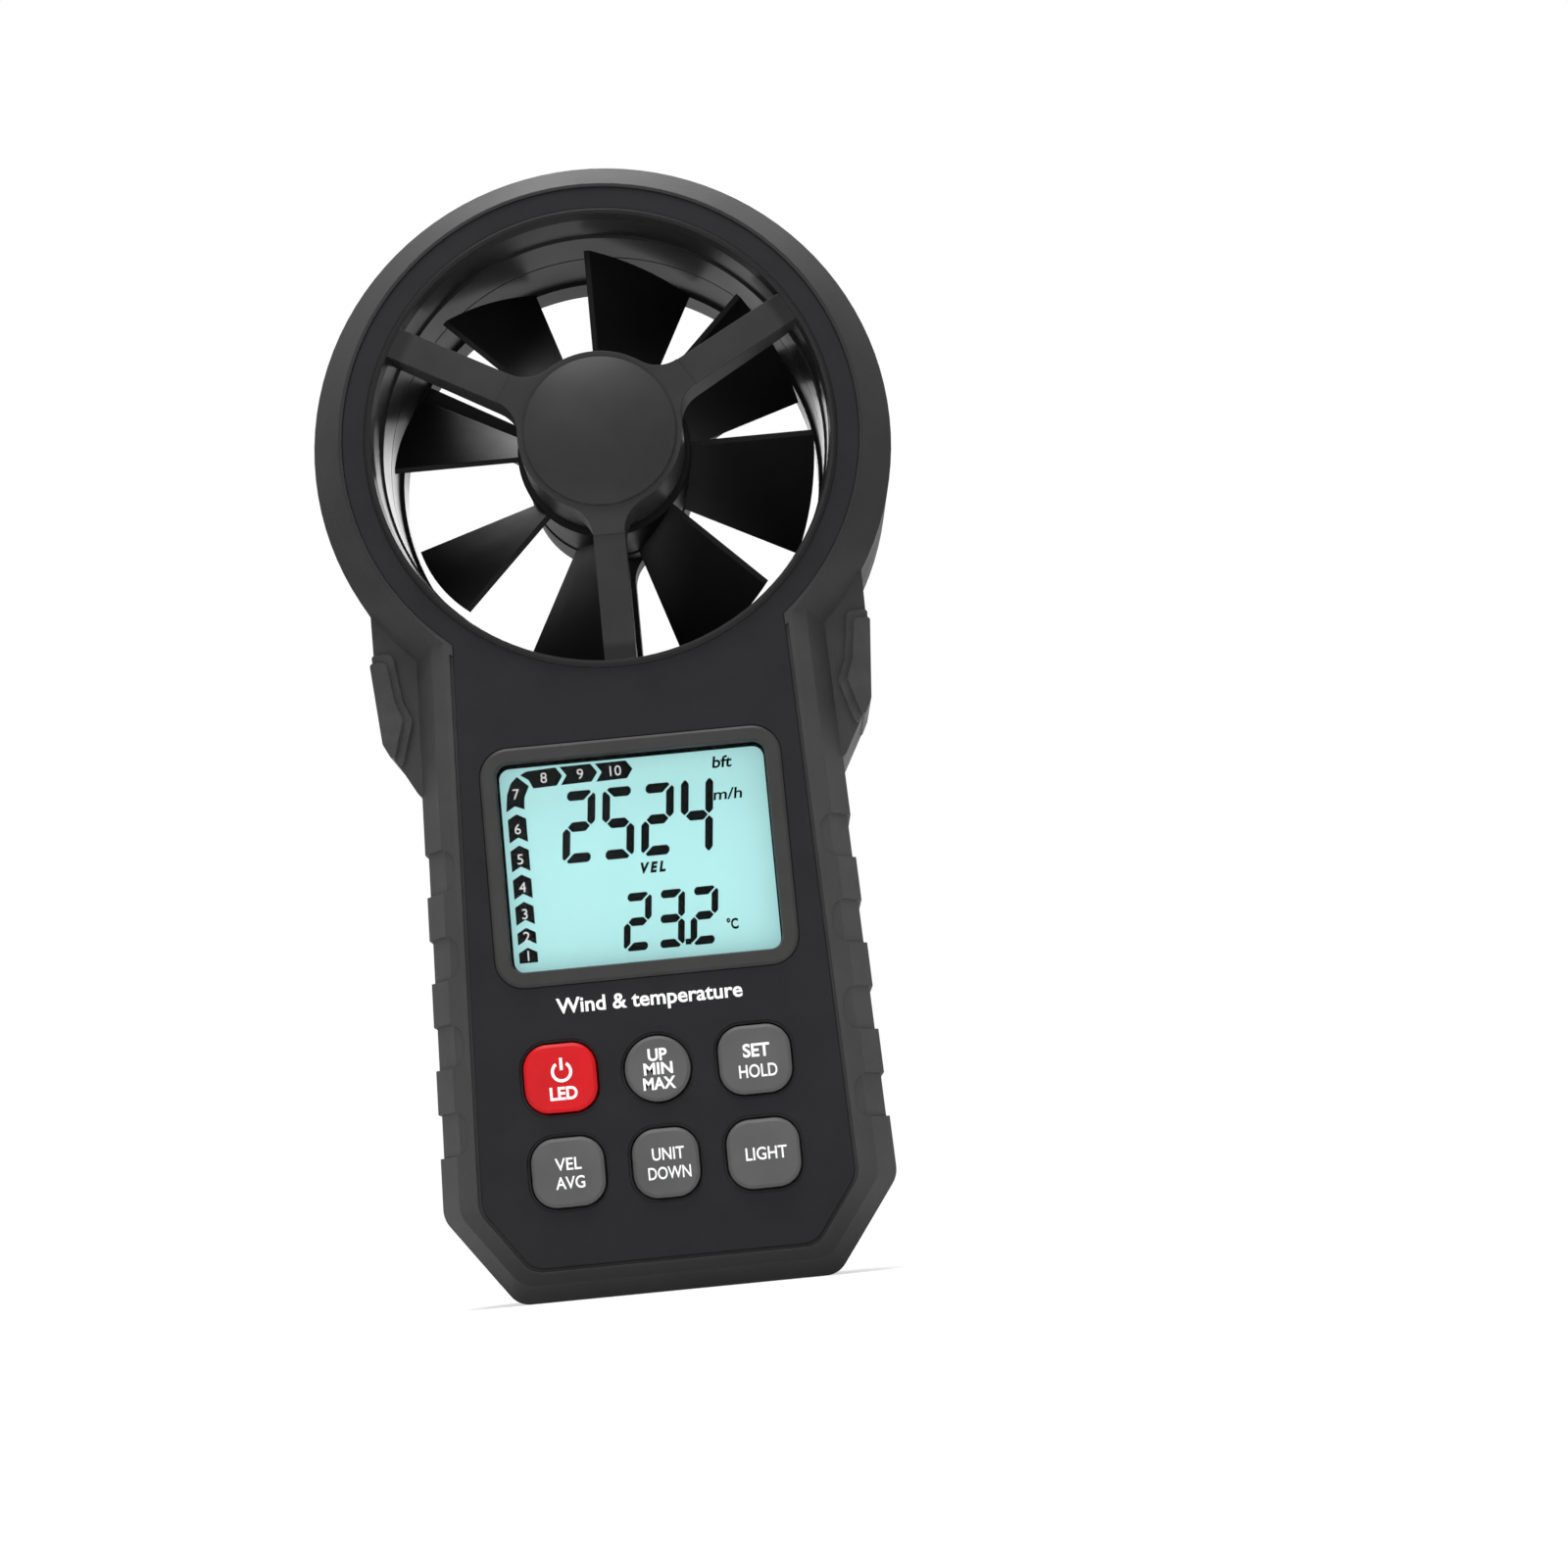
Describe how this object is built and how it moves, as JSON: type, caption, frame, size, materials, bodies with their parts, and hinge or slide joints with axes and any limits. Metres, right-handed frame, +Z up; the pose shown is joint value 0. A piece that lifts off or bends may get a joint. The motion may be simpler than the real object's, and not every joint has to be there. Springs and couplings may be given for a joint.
{
  "type": "handheld weather meter",
  "caption": "Handheld vane anemometer: a twisted-blade vane wheel in a ring duct over a slim body with a lit display, a keypad, side grips and a rear battery door.",
  "frame": {"origin": "middle of the base, on the surface that the meter stands on", "axes": "+Z up along the body to the vane ring, +X to the reader's right, -Y out of the display"},
  "size_m": [0.085, 0.038, 0.1659],
  "materials": {
    "shell_plastic": "fine spark-eroded texture",
    "panel_plastic": "smooth matt film",
    "grip_rubber": "soft-touch matt",
    "duct_plastic": "satin",
    "vane_plastic": "satin black",
    "bezel_plastic": "satin",
    "clear_window": "clear acrylic",
    "lcd_glass": "tinted by its backlight",
    "backlight_panel": "lit diffuser",
    "red_key": "satin silicone",
    "grey_key": "satin silicone",
    "print_white": "printed ink",
    "display_ink": "display segment",
    "steel": "ground",
    "zinc_screw": "zinc plated",
    "black_screw": "black oxide",
    "bronze": "sintered",
    "brass_insert": "turned",
    "magnet": "bonded ferrite",
    "circuit_board": "solder mask",
    "chip_epoxy": "moulded epoxy",
    "ribbon_film": "polyimide film",
    "silicone_mat": "translucent silicone",
    "strip_rubber": "striped contact rubber",
    "holder_plastic": "natural",
    "spring_steel": "nickel plated",
    "cell_wrap": "printed sleeve with bare steel ends",
    "label_film": "printed film",
    "bead_epoxy": "dipped bead"
  },
  "bodies": {
    "housing": {"front_shell": "shell_plastic", "rear_shell": "shell_plastic", "front_panel": "panel_plastic", "left_grip": "grip_rubber", "right_grip": "grip_rubber", "front_duct": "duct_plastic", "rear_duct": "duct_plastic", "hub_cap": "duct_plastic", "front_bearing": "bronze", "rear_bearing": "bronze", "sensor_board": "circuit_board", "hall_sensor": "chip_epoxy", "sensor_ribbon": "ribbon_film", "temperature_sensor": "bead_epoxy", "window_bezel": "bezel_plastic", "display_window": "clear_window", "display_glass": "lcd_glass", "backlight": "backlight_panel", "contact_strips": "strip_rubber", "display_holder": "holder_plastic", "keypad_mat": "silicone_mat", "snap_domes": "steel", "main_board": "circuit_board", "board_screws": "zinc_screw", "board_chips": "chip_epoxy", "buzzer": "chip_epoxy", "contact_springs": "spring_steel", "contact_plates": "spring_steel", "battery_1": "cell_wrap", "battery_2": "cell_wrap", "battery_3": "cell_wrap", "housing_screws": "black_screw", "tripod_insert": "brass_insert"},
    "rotor": {"impeller": "vane_plastic", "rotor_shaft": "steel", "magnet_ring": "magnet"},
    "power_button": {"power_key": "red_key"},
    "minmax_button": {"minmax_key": "grey_key"},
    "hold_button": {"hold_key": "grey_key"},
    "velocity_button": {"velocity_key": "grey_key"},
    "unit_button": {"unit_key": "grey_key"},
    "light_button": {"light_key": "grey_key"},
    "door": {"battery_door": "shell_plastic", "door_label": "label_film", "door_screw": "black_screw"}
  },
  "joints": [
    {"name": "rotor_spin", "type": "hinge", "parent": "housing", "child": "rotor", "pos_m": [0, 0, 0.1234], "axis": [0, -1, 0], "continuous": true},
    {"name": "power_press", "type": "slide", "parent": "housing", "child": "power_button", "axis": [0, 1, 0], "range_m": [0, 0.0008], "stiffness_N_per_m": 400},
    {"name": "minmax_press", "type": "slide", "parent": "housing", "child": "minmax_button", "axis": [0, 1, 0], "range_m": [0, 0.0008], "stiffness_N_per_m": 400},
    {"name": "hold_press", "type": "slide", "parent": "housing", "child": "hold_button", "axis": [0, 1, 0], "range_m": [0, 0.0008], "stiffness_N_per_m": 400},
    {"name": "velocity_press", "type": "slide", "parent": "housing", "child": "velocity_button", "axis": [0, 1, 0], "range_m": [0, 0.0008], "stiffness_N_per_m": 400},
    {"name": "unit_press", "type": "slide", "parent": "housing", "child": "unit_button", "axis": [0, 1, 0], "range_m": [0, 0.0008], "stiffness_N_per_m": 400},
    {"name": "light_press", "type": "slide", "parent": "housing", "child": "light_button", "axis": [0, 1, 0], "range_m": [0, 0.0008], "stiffness_N_per_m": 400},
    {"name": "door_lift", "type": "slide", "parent": "housing", "child": "door", "axis": [0, 1, 0], "range_m": [0, 0.04]}
  ]
}
